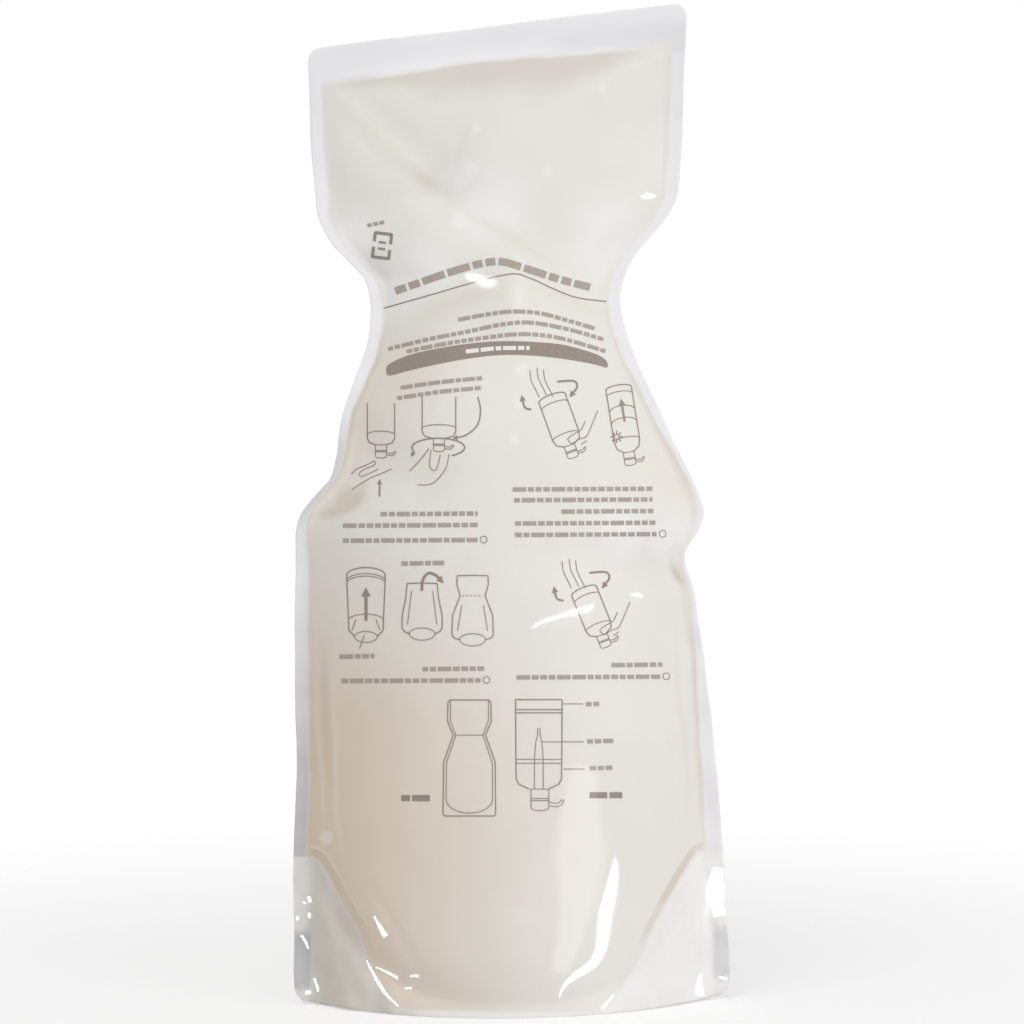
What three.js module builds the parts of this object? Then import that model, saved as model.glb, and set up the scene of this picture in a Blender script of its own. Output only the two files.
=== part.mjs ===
// A stand-up refill pouch of shampoo, full and sealed, standing on its gusset.
//
// The pouch is a front and a back panel of laminated film, heat sealed to each other down both sides
// and across the top. A third piece of film, the gusset, is sealed between them along a U-shaped line,
// and below that line the panels hang down to the table as a skirt. The outline has a waist, where the
// head is folded over before the pouch goes into its dispenser. Filled and sealed, it is one body.
//
// It is lofted across its width: every column is one closed loop in a plane of constant X, up the front
// panel, over the top edge, down the back panel and through the hollow under the gusset.
// Millimetres; X to the right, Y away from the viewer, Z up, origin on the table.
import * as THREE from "three";
import { mergeVertices } from "three/addons/utils/BufferGeometryUtils.js";

// Lengths up the pouch, each from the end of the one before it.
const gussetHeight = 40; // table to the gusset's fold at the side seals
const bodyLength = 93; // to the shoulder
const neckLength = 62; // to the waist
const flareLength = 34; // to the head
const headLength = 50; // to the middle of the top edge

// Widths of the outline, and how far its middle has moved to the left there under the fill.
const baseWidth = 122;
const bodyWidth = 116;
const shoulderWidth = 115;
const waistWidth = 71.6;
const headWidth = 106;
const topWidth = 110.6;
const bodyShift = 3;
const shoulderShift = 3.8;
const waistShift = 4.7;
const headShift = 5.4;

// Depths, front to back at the middle of the width.
const baseDepth = 47;
const bodyDepth = 53;
const shoulderDepth = 45;
const waistDepth = 24;
const headDepth = 24;

// Film and seals.
const sealThickness = 0.5;
const sideSealWidth = 4.8;
const topSealWidth = 8.6;
const bottomSealHeight = 4.5; // the gusset's seal above the table, at the middle
const gussetSealPower = 3.2; // how late that seal turns up towards the side seals
const gussetSealPinch = 1.8; // how far it draws the film in
const gussetSealPuff = 2.4; // how far the film swells above it
const gussetSealReach = 7; // how soon the film swells
const gussetSlack = 0.34; // sag of the gusset, as a share of its half span
const topCornerRadius = 3.6;
const bottomCornerRadius = 5;

// How this pouch stands: its base is turned a little to the right, its head is set back and turned the
// other way, and its top edge slopes up to the right.
const baseTwist = 4;
const headSetBack = 32;
const leanStart = 22; // below the shoulder
const leanEnd = 26; // above the head's widest place
const headTwist = 8;
const topSlope = 5.2;

// Places where a side seal has buckled inwards: height, depth and half the length of the dent.
const leftBuckles = [
  { height: 150, depth: 6.8, reach: 12 },
  { height: 170, depth: 1.6, reach: 9 },
];
const rightBuckles = [
  { height: 110, depth: 2.6, reach: 12 },
  { height: 124.5, depth: 5, reach: 6 },
  { height: 209, depth: 2, reach: 9 },
];

// Folds of the front panel, each from one place to another as [across, up], with a width and a depth.
// A fold with a depth below zero is a ridge.
const frontFolds = [
  { from: [-50, 262], to: [-21, 231], depth: 1.3, width: 8 }, // from the head's upper left corner
  { from: [-21, 231], to: [26, 203], depth: 1.9, width: 8.5 }, // down to the right of the waist
  { from: [-21, 231], to: [-46, 220], depth: 1.1, width: 7.5 }, // out to the left seal
  { from: [1, 212], to: [1, 190], depth: -1.8, width: 8 }, // the raised middle of the waist
  { from: [-44, 156], to: [-26, 146], depth: 1.6, width: 7 }, // in from the left buckle
  { from: [50, 125], to: [34, 122], depth: 2.4, width: 6 }, // in from the right buckle
];

// Counts and spacing of the mesh.
const panelColumns = 34;
const skirtRows = 4;
const bellyRows = 8;
const rowSpacing = 5.2;
const sealRows = 2;
const gussetColumns = 8;

const shoulderHeight = gussetHeight + bodyLength;
const waistHeight = shoulderHeight + neckLength;
const headHeight = waistHeight + flareLength;
const pouchHeight = headHeight + headLength;
const topSealHeight = pouchHeight - topSealWidth;
const bodyHeight = gussetHeight + 0.45 * bodyLength;
const bellyTop = gussetHeight + 0.13 * bodyLength;
const filmHalf = sealThickness / 2;

const { clamp, lerp, smoothstep } = THREE.MathUtils;

// A smooth curve through [place, value] knots that never overshoots them.
function profile(...knots) {
  const slopes = knots.slice(1).map(([x, v], i) => (v - knots[i][1]) / (x - knots[i][0]));
  const last = slopes.length - 1;
  const tangents = knots.map((_, i) => {
    const before = slopes[Math.max(i - 1, 0)];
    const after = slopes[Math.min(i, last)];
    return before * after <= 0 ? 0 : (2 * before * after) / (before + after);
  });
  return (x) => {
    const next = knots.findIndex(([place]) => place > x);
    const i = next < 0 ? last : Math.max(next - 1, 0);
    const [x0, v0] = knots[i];
    const [x1, v1] = knots[i + 1];
    const t = clamp((x - x0) / (x1 - x0), 0, 1);
    const bend = tangents[i] * (1 - t) - tangents[i + 1] * t;
    return lerp(v0, v1, t * t * (3 - 2 * t)) + (x1 - x0) * t * (1 - t) * bend;
  };
}

const halfWidth = profile(
  [0, baseWidth / 2],
  [gussetHeight, (baseWidth * 0.65 + bodyWidth * 0.35) / 2],
  [bodyHeight, bodyWidth / 2],
  [shoulderHeight, shoulderWidth / 2],
  [waistHeight, waistWidth / 2],
  [headHeight, headWidth / 2],
  [pouchHeight, topWidth / 2],
);
const shift = profile(
  [0, 0],
  [bodyHeight, -bodyShift],
  [shoulderHeight, -shoulderShift],
  [waistHeight, -waistShift],
  [headHeight, -headShift],
  [pouchHeight, -headShift],
);
const halfDepth = profile(
  [0, baseDepth / 2],
  [gussetHeight, bodyDepth / 2 - gussetSealPuff],
  [bodyHeight, bodyDepth / 2 - gussetSealPuff],
  [shoulderHeight, shoulderDepth / 2],
  [waistHeight, waistDepth / 2],
  [headHeight, headDepth / 2],
  [lerp(headHeight, topSealHeight, 0.55), headDepth * 0.38],
  [lerp(headHeight, topSealHeight, 0.85), headDepth * 0.2],
  [topSealHeight, 0],
);

const dent = (distance, reach) => Math.exp(-((distance / reach) ** 2));
const buckled = (buckles, up) =>
  buckles.reduce((sum, { height, depth, reach }) => sum + depth * dent(up - height, reach), 0);
const leftEdge = (up) => shift(up) - halfWidth(up) + buckled(leftBuckles, up);
const rightEdge = (up) => shift(up) + halfWidth(up) - buckled(rightBuckles, up);

// The gusset's seal, as a height at each place across, -1 and 1 being the inner lines of the side seals.
const gussetSeal = (across) =>
  bottomSealHeight +
  (gussetHeight - bottomSealHeight) * Math.min(Math.abs(across), 1) ** gussetSealPower;

// Distance above the gusset's seal, measured square to it.
function aboveGussetSeal(across, up) {
  const inner = baseWidth / 2 - sideSealWidth;
  const rise = (gussetHeight - bottomSealHeight) * gussetSealPower;
  const slope = (rise / inner) * Math.abs(across) ** (gussetSealPower - 1);
  return (up - gussetSeal(across)) / Math.hypot(1, slope);
}

// Half the thickness of the pouch: a lens of two circular arcs between the inner lines of the side
// seals, drawn in along the gusset's seal and swelling above it.
function thickness(across, up) {
  const deep = halfDepth(up);
  if (Math.abs(across) >= 1 || deep < 1e-6) return filmHalf;
  const wide = (rightEdge(up) - leftEdge(up)) / 2 - sideSealWidth;
  const radius = (wide * wide + deep * deep) / (2 * deep);
  const lens = Math.sqrt(radius * radius - (wide * across) ** 2) - (radius - deep);
  const above = aboveGussetSeal(across, up);
  const low = 1 - smoothstep(up, bellyTop, shoulderHeight);
  const puff = above > 0 ? gussetSealPuff * (1 - Math.exp(-above / gussetSealReach)) : 0;
  const pinch = gussetSealPinch * dent(above, gussetSealReach / 2);
  const free = Math.min(lens / 8, 1);
  return filmHalf + lens + free * (puff * low - pinch);
}

// How far the middle of the pouch has moved back.
const setBack = (across, up) =>
  baseTwist * across * (1 - smoothstep(up, 0, waistHeight)) +
  headSetBack * smoothstep(up, shoulderHeight - leanStart, headHeight + leanEnd) -
  headTwist * across * smoothstep(up, waistHeight, pouchHeight);

// How far the folds press the front panel in at [x, up].
function folded(x, up) {
  const place = new THREE.Vector3(x, up, 0);
  return frontFolds.reduce((sum, { from, to, depth, width }) => {
    const line = new THREE.Line3(new THREE.Vector3(...from, 0), new THREE.Vector3(...to, 0));
    const near = line.closestPointToPoint(place, true, new THREE.Vector3());
    return sum + depth * dent(place.distanceTo(near), width);
  }, 0);
}

// Columns across the pouch: each has its place across the panel from -1 to 1 and, in the side seals,
// its distance from the edge. The columns of a seal are spaced round the corners' quarter circles.
const sealSteps = [0, 30, 60].map((turn) => {
  const round = Math.min(sideSealWidth, bottomCornerRadius);
  return round * (1 - Math.cos(THREE.MathUtils.degToRad(turn)));
});
const panel = Array.from({ length: panelColumns + 1 }, (_, i) => {
  const t = (2 * i) / panelColumns - 1;
  return { across: 0.6 * t + 0.4 * Math.sin((Math.PI / 2) * t), inset: sideSealWidth };
});
const columns = [
  ...sealSteps.map((inset) => ({ across: -1, inset })),
  ...panel,
  ...sealSteps.map((inset) => ({ across: 1, inset })).reverse(),
];

// How far a corner of a radius takes the end of a column in, at a distance from the edge.
const roundedOff = (inset, radius) =>
  inset >= radius ? 0 : radius - Math.sqrt(radius ** 2 - (radius - inset) ** 2);

// Nominal heights of a column's rows: skirt, belly, body and top seal.
function rowHeights(across) {
  const seal = gussetSeal(across);
  const bodyRows = Math.round((topSealHeight - bellyTop) / rowSpacing);
  const rows = [];
  for (let i = 0; i < skirtRows; i++) rows.push((seal * i) / skirtRows);
  for (let i = 0; i < bellyRows; i++) rows.push(lerp(seal, bellyTop, i / bellyRows));
  for (let i = 0; i < bodyRows; i++) rows.push(lerp(bellyTop, topSealHeight, i / bodyRows));
  for (let i = 0; i <= sealRows; i++) rows.push(topSealHeight + (topSealWidth * i) / sealRows);
  return rows;
}

// A point of the front panel (side -1) or the back one (side 1), and one inside by a depth of wall.
function panelPoint({ across, inset }, up, side, wall = 0) {
  const left = leftEdge(up);
  const right = rightEdge(up);
  const edge = Math.min(inset, sideSealWidth);
  const x =
    Math.abs(across) >= 1
      ? (across < 0 ? left + edge : right - edge)
      : lerp(left + sideSealWidth, right - sideSealWidth, (across + 1) / 2);
  const place = (2 * (x - left)) / (right - left) - 1;
  const rise = topSlope * place * smoothstep(up, waistHeight, pouchHeight);
  const lift = roundedOff(inset, bottomCornerRadius) * (1 - smoothstep(up, 0, gussetHeight));
  const drop = roundedOff(inset, topCornerRadius) * smoothstep(up, headHeight, pouchHeight);
  const half = Math.max(thickness(across, up) - wall, 0);
  const free = clamp(half / 4, 0, 1);
  const press = side < 0 ? folded(x, up) * free : 0;
  return new THREE.Vector3(x, setBack(place, up) + side * half + press, up + rise + lift - drop);
}

// The hollow under the gusset, from the back panel's hem to the front one's. In the side seals it has
// closed to a point between the two panels, which at the very edge is on the front one.
function hollow(column) {
  const seal = gussetSeal(column.across);
  const points = gussetColumns + 5;
  if (Math.abs(column.across) >= 1) {
    const hem = panelPoint(column, 0, -1, column.inset > 0 ? filmHalf : 0);
    return Array.from({ length: points }, () => hem.clone());
  }
  const wallOf = (side) => [0, seal / 2, seal].map((up) => panelPoint(column, up, side, sealThickness));
  const back = wallOf(1);
  const front = wallOf(-1).reverse();
  const span = (back[2].y - front[0].y) / 2;
  const gusset = [];
  for (let i = 1; i < gussetColumns; i++) {
    const u = 1 - (2 * i) / gussetColumns;
    const point = back[2].clone().lerp(front[0], i / gussetColumns);
    point.z = Math.max(point.z - 2 * gussetSlack * span * (1 - u * u), 0);
    gusset.push(point);
  }
  return [...back, ...gusset, ...front];
}

function loop(column) {
  const heights = rowHeights(column.across);
  return [
    ...heights.map((up) => panelPoint(column, up, -1)),
    ...heights.toReversed().map((up) => panelPoint(column, up, 1)),
    ...hollow(column),
  ];
}

function pouchGeometry() {
  const loops = columns.map(loop);
  const size = loops[0].length;
  const positions = loops.flat().flatMap((point) => point.toArray());
  const index = [];
  const quad = (a, b, c, d) => index.push(a, c, b, a, d, c);
  for (let column = 0; column + 1 < loops.length; column++)
    for (let i = 0; i < size; i++) {
      const j = (i + 1) % size;
      quad(column * size + i, column * size + j, (column + 1) * size + j, (column + 1) * size + i);
    }
  // The edge of each side seal closes its outermost loop, from the front panel's row to the back one's.
  const rows = rowHeights(1).length;
  for (const [column, turned] of [[0, false], [loops.length - 1, true]])
    for (let i = 0; i + 1 < rows; i++) {
      const front = column * size + i;
      const back = column * size + 2 * rows - 1 - i;
      if (turned) quad(front, front + 1, back - 1, back);
      else quad(back, back - 1, front + 1, front);
    }
  const geometry = new THREE.BufferGeometry();
  geometry.setAttribute("position", new THREE.Float32BufferAttribute(positions, 3));
  geometry.setIndex(index);
  return withoutSlivers(mergeVertices(geometry, 1e-3));
}

// Drops the triangles that closed up where points of the hollow meet, and sets the middle of the base
// over the origin.
function withoutSlivers(geometry) {
  const corners = geometry.index.array;
  const kept = [];
  for (let i = 0; i < corners.length; i += 3) {
    const [a, b, c] = corners.slice(i, i + 3);
    if (a !== b && b !== c && c !== a) kept.push(a, b, c);
  }
  geometry.setIndex(kept);
  geometry.computeBoundingBox();
  const middle = geometry.boundingBox.getCenter(new THREE.Vector3());
  geometry.translate(-middle.x, -middle.y, -geometry.boundingBox.min.z);
  geometry.computeVertexNormals();
  return geometry;
}

const film = new THREE.MeshStandardMaterial({ color: 0xdfd9d2, roughness: 0.22, metalness: 0 });
const pouch = new THREE.Mesh(pouchGeometry(), film);
pouch.name = "pouch";

const part = new THREE.Group();
part.add(pouch);
export default part;
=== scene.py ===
# %% [markdown]
# A full refill pouch of shampoo, standing on its gusset.
#
# The real pouch is three pieces of film: a front and a back panel, and a folded gusset sealed between
# them at the bottom. The film is a laminate of nylon and polyethylene, milky and glossy, and the
# shampoo behind it tints it. Heat seals run down both sides and across the top, and below the U-shaped
# seal of the gusset the panels hang down to the table as an empty skirt.
#
# This lesson takes the sealed body from the fixed model, makes its surface fine, presses the folds of
# the film into it, gives it its material, lays the print on it and lights it.

# %% Load the fixed model
import math

import bmesh
import bpy
import numpy as np
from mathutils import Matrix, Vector, noise
from mathutils.bvhtree import BVHTree
from mathutils.interpolate import poly_3d_calc


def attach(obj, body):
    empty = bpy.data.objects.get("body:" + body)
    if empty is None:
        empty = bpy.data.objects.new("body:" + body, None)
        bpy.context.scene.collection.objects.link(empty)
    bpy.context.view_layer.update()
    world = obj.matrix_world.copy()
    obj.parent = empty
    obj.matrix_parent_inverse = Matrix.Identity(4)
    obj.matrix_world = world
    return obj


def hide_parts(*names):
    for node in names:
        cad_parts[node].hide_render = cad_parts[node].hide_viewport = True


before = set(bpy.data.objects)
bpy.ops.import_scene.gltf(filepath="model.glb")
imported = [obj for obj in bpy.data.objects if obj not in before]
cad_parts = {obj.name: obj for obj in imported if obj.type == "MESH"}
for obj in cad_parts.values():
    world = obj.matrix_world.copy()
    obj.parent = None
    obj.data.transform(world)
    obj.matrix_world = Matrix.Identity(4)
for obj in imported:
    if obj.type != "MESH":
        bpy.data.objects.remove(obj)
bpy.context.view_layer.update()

MM = 0.001

# %% [markdown]
# The camera stands level with the middle of the pouch, as the one of the picture did. A long lens from
# two thirds of a metre away keeps the outline almost free of perspective. The place of a detail is
# given as the camera sees it: millimetres to the right of the middle of the base, and millimetres
# above the table, on the upright plane through the two lower corners of the pouch.

# %% Camera
VIEW_DISTANCE = 675  # mm, from the lens to the plane of the lower corners
VIEW_HEIGHT = 136.6  # mm
PICTURE_WIDTH = 286  # mm of that plane that the picture takes in
SENSOR = 36  # mm
CORNERS_BELOW = 6  # mm above the table

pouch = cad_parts["pouch"]
low = np.array([v.co for v in pouch.data.vertices if v.co.z < CORNERS_BELOW * MM])
corner_left, corner_right = low[low[:, 0].argmin()], low[low[:, 0].argmax()]
plane_x, plane_y = (corner_left[:2] + corner_right[:2]) / 2 / MM

bpy.ops.object.select_all(action="DESELECT")
bpy.ops.object.camera_add(
    location=(plane_x * MM, (plane_y - VIEW_DISTANCE) * MM, VIEW_HEIGHT * MM),
    rotation=(math.radians(90), 0, 0),
)
camera = bpy.context.object
camera.data.sensor_width = SENSOR
camera.data.lens = SENSOR * VIEW_DISTANCE / PICTURE_WIDTH
bpy.context.scene.camera = camera
print("lens", round(camera.data.lens, 1), "mm; plane through x, y =", round(plane_x, 1), round(plane_y, 1))


def as_seen(points):
    """Points in metres as [right, up] in mm, where the camera sees them on the picture's plane."""
    mm = points / MM
    shrink = VIEW_DISTANCE / (VIEW_DISTANCE + mm[:, 1] - plane_y)
    right = (mm[:, 0] - plane_x) * shrink
    up = VIEW_HEIGHT + (mm[:, 2] - VIEW_HEIGHT) * shrink
    return np.column_stack([right, up])


# %% [markdown]
# The film. The fixed model is a loft of coarse facets in loose triangles. A copy of it is merged,
# its triangles are joined to quads again, and a Subdivision Surface rounds it. That keeps the size of
# the model exactly, where a new sculpt of the same pouch would have to be fitted to it.

# %% Copy the body and make it fine
MERGE = 0.002  # mm
JOIN_ANGLE = math.radians(60)

bpy.ops.object.select_all(action="DESELECT")
pouch.select_set(True)
bpy.context.view_layer.objects.active = pouch
bpy.ops.object.duplicate()
film = bpy.context.object
film.name = film.data.name = "film_pouch"
bpy.ops.object.mode_set(mode="EDIT")
bpy.ops.mesh.select_all(action="SELECT")
bpy.ops.mesh.remove_doubles(threshold=MERGE * MM)
bpy.ops.mesh.tris_convert_to_quads(face_threshold=JOIN_ANGLE, shape_threshold=JOIN_ANGLE)
bpy.ops.object.mode_set(mode="OBJECT")
sides = [len(p.vertices) for p in film.data.polygons]
print("quads", sides.count(4), "triangles", sides.count(3))
fine = film.modifiers.new("fine", "SUBSURF")
fine.levels = fine.render_levels = 2
bpy.ops.object.modifier_apply(modifier=fine.name)
bpy.ops.object.shade_smooth()
print("film", len(film.data.vertices), "points")


# %% [markdown]
# The places on the film. A seal is a strip along the edge, so each point is given its distance from
# the edge of the film, and its distance above the seal of the gusset. The folds and the material both
# read them.

# %% Distances on the film
SIDE_SEAL = 4.8  # mm
TOP_SEAL = 8.6
GUSSET_TOP = 40  # mm above the table, where the gusset's seal meets the side seals
GUSSET_LOW = 4.5
GUSSET_POWER = 3.2
GUSSET_HALF = 56  # mm, from the middle to the side seals
STEP = 1.5  # mm


def read_vectors(piece, kind):
    """The places ("co") or the normals ("normal") of a piece's points, one a row."""
    flat = np.empty(len(piece.data.vertices) * 3)
    piece.data.vertices.foreach_get(kind, flat)
    return flat.reshape(-1, 3)


def write_points(piece, points):
    piece.data.vertices.foreach_set("co", points.ravel())
    piece.data.update()


def write_attribute(piece, name, values):
    layer = piece.data.attributes.new(name, "FLOAT", "POINT")
    layer.data.foreach_set("value", np.asarray(values, dtype=np.float32))


points = read_vectors(film, "co")
normals = read_vectors(film, "normal")
x, y, z = points.T / MM
heights = np.arange(0, z.max() - TOP_SEAL, STEP)
near = [np.abs(z - height) < STEP for height in heights]
left = np.interp(z, heights, [x[rows].min() for rows in near])
right = np.interp(z, heights, [x[rows].max() for rows in near])
columns = [np.abs(x - at) < 1 for at in range(-28, 29, 4)]
slope, top = np.polyfit([x[column].mean() for column in columns], [z[column].max() for column in columns], 1)
from_side = np.minimum(x - left, right - x)
from_top = top + slope * x - z
from_edge = np.minimum(from_side, from_top * SIDE_SEAL / TOP_SEAL)
across = np.clip((2 * x - left - right) / (right - left - 2 * SIDE_SEAL), -1, 1)
gusset_rise = GUSSET_TOP - GUSSET_LOW
gusset_seal = GUSSET_LOW + gusset_rise * np.abs(across) ** GUSSET_POWER
gusset_slope = gusset_rise * GUSSET_POWER / GUSSET_HALF * np.abs(across) ** (GUSSET_POWER - 1)
above_seal = (z - gusset_seal) / np.hypot(1, gusset_slope)
print("top edge", round(top, 1), "mm, slope", round(slope, 3))

# %% [markdown]
# The folds. Film can't stretch, so where the fill pushes it out of its flat shape it folds along
# sharp lines that run between the places that hold it: seals, corners and the dimple of the head.
# Each fold is a groove along a line on the front, with a depth and a width, and a ridge is a groove
# with a depth below zero. Moving the points by a formula puts every fold where the picture has it,
# which sculpting or a simulation would only do by luck.

# %% Helpers for folds
seen = as_seen(points)
front = np.clip(-normals[:, 1] * 4, 0, 1)
filled = np.clip((from_edge - SIDE_SEAL) / 5, 0, 1)


def line_distance(places, start, end):
    """Distance of each place from a line, and how far along the line its foot is, 0 to 1."""
    start, end = np.array(start), np.array(end)
    run = end - start
    along = np.clip((places - start) @ run / (run @ run), 0, 1)
    return np.linalg.norm(places - start - along[:, None] * run, axis=1), along


def fold(places, route, depth, width, sharp=1.4):
    """A groove along a route of places, that fades out at both ends of the route."""
    total = np.zeros(len(places))
    count = len(route) - 1
    for i, (start, end) in enumerate(zip(route, route[1:])):
        distance, along = line_distance(places, start, end)
        fade = np.sin(np.pi * np.clip((i + along) / count, 0.04, 0.96)) ** 0.5
        total = np.maximum(total, np.exp(-((distance / width) ** sharp)) * fade)
    return depth * total


def smooth(*places, steps=6):
    """A smooth line through a few places."""
    p = np.array([places[0], *places, places[-1]], dtype=float)
    t = np.arange(steps)[:, None] / steps
    pieces = [
        p[i] + 0.5 * t * (p[i + 1] - p[i - 1] + t * (2 * p[i - 1] - 5 * p[i] + 4 * p[i + 1] - p[i + 2]
        + t * (3 * (p[i] - p[i + 1]) + p[i + 2] - p[i - 1])))
        for i in range(1, len(p) - 2)
    ]
    return np.vstack([*pieces, p[-1:]])


# %% Folds of the front
DIMPLE = (-20.3, 226.5)  # where the head has sunk in
PILLOW = (-16.5, 230.5)  # beside it, where the film still stands up
PILLOW_RISE = 0.5  # mm
PILLOW_RADIUS = 7
FRONT_FOLDS = [  # route, depth and width
    ([DIMPLE, (-36, 241), (-52.4, 257.3)], -0.22, 2.4),
    ([(-24, 225), (-38, 236), (-50, 249)], 0.22, 2.6),
    ([DIMPLE, (-46.8, 225.1), (-51, 219.6)], 0.2, 2.4),
    ([DIMPLE, (-18.9, 224), (0, 210.5), (24.4, 195.8)], 0.3, 2.8),
    ([DIMPLE, (-15, 236), (-5.2, 241.9)], 0.2, 1.8),
    ([DIMPLE, (-19, 218), (-12, 212)], 0.25, 1.8),
    ([(44, 267), (29.2, 260.6)], -0.25, 1.8),
    ([(1.3, 207), (1.3, 190)], -0.4, 3.6),
    ([(1.3, 204), (-14, 197), (-31.4, 189)], 0.28, 3.0),
    ([(44.6, 123.2), (49.6, 116.2)], 1.2, 1.5),
    ([(49.6, 112), (51.5, 80), (52.5, 42)], 0.4, 1.2),
    ([(52.2, 108), (54, 76), (55, 46)], 0.3, 1.0),
    ([(-49.7, 102), (-50.3, 70), (-49.7, 39.4)], -0.35, 1.0),
    ([(-53.5, 110), (-54.2, 84), (-53.6, 60)], 0.4, 1.4),
    ([(-23.6, 29.9), (0, 25.5), (21.9, 22.9)], 0.12, 1.0),
    ([(-54, 148), (-44, 138), (-38, 132)], 0.5, 2.4),
    ([(-40, 32), (-33, 20), (-26, 8)], 0.35, 1.2),
    ([(45, 30), (37, 18), (29, 7)], 0.35, 1.2),
]
pressed = sum(fold(seen, route, depth, width) for route, depth, width in FRONT_FOLDS)
pressed -= PILLOW_RISE * np.exp(-((np.linalg.norm(seen - PILLOW, axis=1) / PILLOW_RADIUS) ** 2))
print("deepest fold", round(pressed.max(), 2), "mm")

# %% [markdown]
# The unrest of the film. A filled film is never quite smooth: it has shallow waves a centimetre or so
# long. Its side seals shrank when they were welded, so they ripple, and the empty skirt is crumpled at
# both corners. A cloth simulation would find such waves too, but it would also pull at the outline, which
# is fixed. So smooth noise moves the points, read at one place for both faces of a thin seal, so that
# they stay parallel.


# %% Waves, ripples and crumples
def waves(size_x, size_y, size_z, seed):
    """Smooth noise, about -1 to 1, at each point, with waves of a size in mm along each axis."""
    place = np.column_stack([x / size_x, y / size_y, z / size_z]) + seed
    return 2 * np.array([noise.noise(Vector(row)) for row in place])


THROUGH = 1e6  # mm, a wave so long that both faces of a seal move as one
skirt = np.clip(-above_seal / 3, 0, 1)
upright = 1 - np.abs(normals[:, 2])
corner = np.clip((np.abs(across) - 0.45) / 0.4, 0, 1)
wobble = 0.16 * waves(15, 15, 19, 3.1) + 0.04 * waves(6, 6, 8, 8.7)
edge_strip = np.exp(-((from_side / 7) ** 2)) * np.clip(from_top / 20, 0, 1)
ripple = edge_strip * (0.55 * waves(40, THROUGH, 14, 21.3) + 0.3 * waves(22, THROUGH, 6, 33.9))
ripple *= 1 - 0.6 * np.clip((z - 150) / 60, 0, 1)
top_ripple = 0.5 * waves(26, THROUGH, 30, 5.2) * np.clip(1 - from_top / 26, 0, 1)
crumple = skirt * upright * corner * (1.0 * waves(7, THROUGH, 17, 41.5) + 0.5 * waves(4, THROUGH, 6, 57.7))
print("widest ripple", round(np.abs(ripple).max(), 2), "mm, crumple", round(np.abs(crumple).max(), 2), "mm")

# %% [markdown]
# The edges. Welding drew the film in a little more here and less there on the way up, so neither edge is
# a clean curve. A short table gives how far each edge moves to the right at a height, and the rest of the
# film follows in proportion. A lattice could do it too, but a table shows what was measured.

# %% Draw the edges in and out
EDGE_PULL = np.array([  # [height, left edge, right edge] in mm
    (0, 0.5, 0.1), (30, 0.6, 0.7), (50, 0.9, 1.3), (62, 1.4, 1.2), (76, 1.0, 1.0), (88, 0.6, 0),
    (104, 0.6, 0.1), (112, 0.9, -0.3), (120, 1.0, -0.9), (126, 0.6, -0.6), (131, 0, 0.5), (136, -0.1, 1.0),
    (142, 1.2, 0.2), (146, 2.0, -0.2), (151, 0.6, -0.3), (157, 0, -0.4), (166, -0.3, 0.4), (174, -0.4, 0.9),
    (184, 0.6, 0.8), (193, 0, 0.5), (199, 0.3, 0), (204, 1.2, -0.1), (209, 0, -0.3), (214, -0.9, -0.4),
    (220, 0, 0.4), (228, 1.0, 1.2), (240, 0.5, 0.8), (285, 0, 0.7),
])
pull_left = np.interp(z, EDGE_PULL[:, 0], EDGE_PULL[:, 1])
pull_right = np.interp(z, EDGE_PULL[:, 0], EDGE_PULL[:, 2])
rightness = np.clip((across + 1) / 2, 0, 1)

# %% Move the points of the film
moved = normals * (wobble * filled * (1 - skirt))[:, None]
moved[:, 1] += pressed * front * filled + ripple + top_ripple + crumple
moved[:, 0] += 0.15 * waves(THROUGH, THROUGH, 13, 71.3) * np.exp(-((from_side / 5) ** 2)) * np.sign(across)
moved[:, 0] += pull_left * (1 - rightness) + pull_right * rightness
points += moved * MM
points[:, 2] = np.maximum(points[:, 2], 0)
write_points(film, points)
print("farthest move", round(np.linalg.norm(moved, axis=1).max(), 2), "mm")

# %% [markdown]
# What the material has to know about a place. Some of it is a distance: from the seals into the fill,
# and above the gusset's weld. The rest is a share from 0 to 1: where the weld shows; a warmer, darker
# beige, partly the shampoo's own and partly painted shade; painted light in pale spots; painted shade
# beside the seals, under the top seal and in creases; painted highlights on ridges; painted shade on the
# seals and skirt that less light reaches; the two clear patches of the corners, the left one painted
# darker as shade; and pale round spots. They are point attributes, because they follow the pouch's own
# outline, which no texture knows.


# %% Helpers for places
def soft_box(places, low_corner, high_corner, edge):
    """1 inside a box of places, and softly down to 0 over its edge."""
    inside = np.minimum(places - low_corner, np.array(high_corner) - places).min(axis=1)
    return np.clip(inside / edge + 0.5, 0, 1)


def spots(places, centres, sharp=4):
    """1 at the middle of each round spot [right, up, radius], down to 0 past its radius."""
    total = np.zeros(len(places))
    for right_of, up, radius in centres:
        distance = np.linalg.norm(places - (right_of, up), axis=1)
        total = np.maximum(total, np.exp(-((distance / radius) ** sharp)))
    return total


def smoothstep(share):
    share = np.clip(share, 0, 1)
    return share * share * (3 - 2 * share)
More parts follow.
